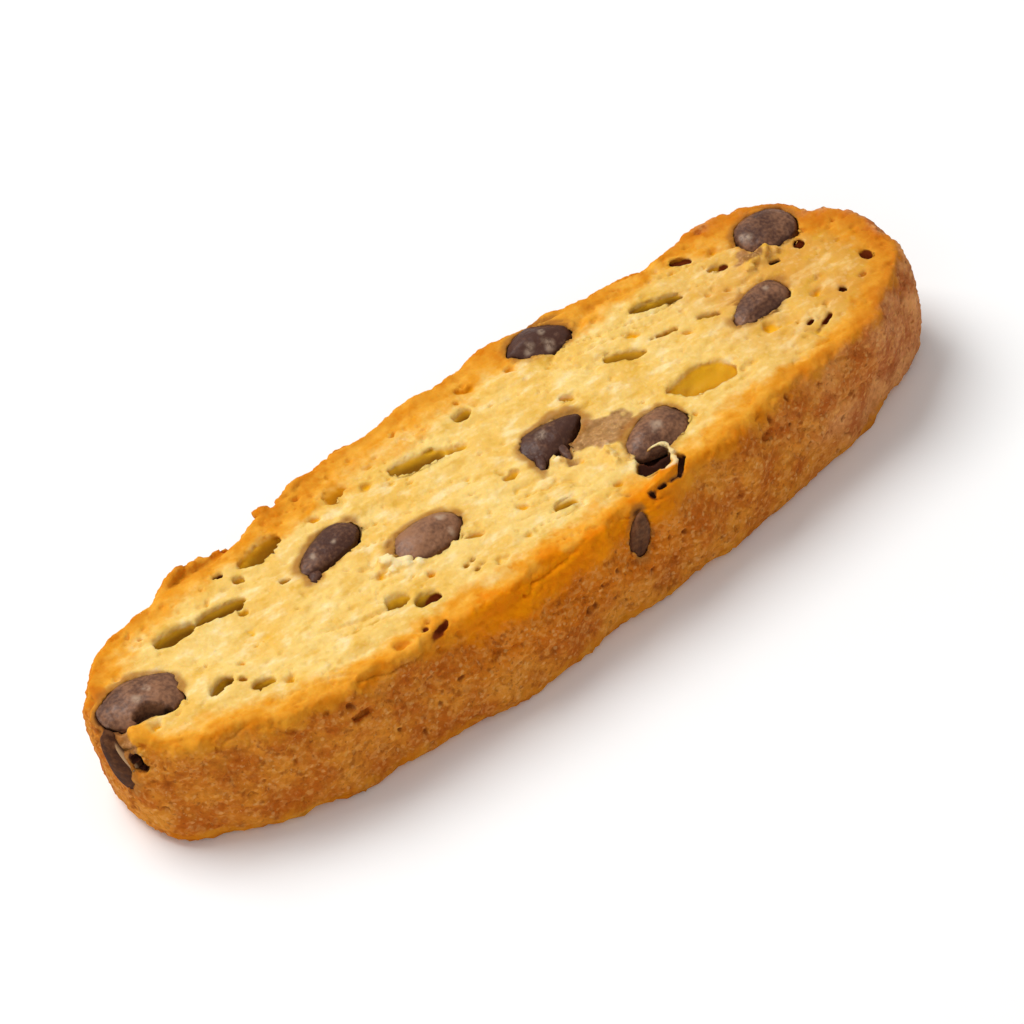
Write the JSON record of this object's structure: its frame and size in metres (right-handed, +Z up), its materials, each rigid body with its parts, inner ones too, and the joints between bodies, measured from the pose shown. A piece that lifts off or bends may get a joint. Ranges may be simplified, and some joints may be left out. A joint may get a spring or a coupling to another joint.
{
  "type": "biscotto biscuit",
  "caption": "Long, flat, crusty slice of twice-baked golden biscuit with a pale airy crumb and dark chocolate chips.",
  "frame": {"origin": "bottom centre of the slice's bounding box, in the plane of the lower cut face", "axes": "+X along the slice, +Y across the cut face from the bowed lower edge of the loaf to its top edge, +Z up out of the upper cut face"},
  "size_m": [0.1084, 0.0326, 0.0154],
  "materials": {
    "biscuit": "matt golden baked crumb inside a browned crust",
    "chocolate": "satin dark chocolate with a light bloom"
  },
  "bodies": {
    "root": {"biscuit": "biscuit"}
  },
  "joints": []
}
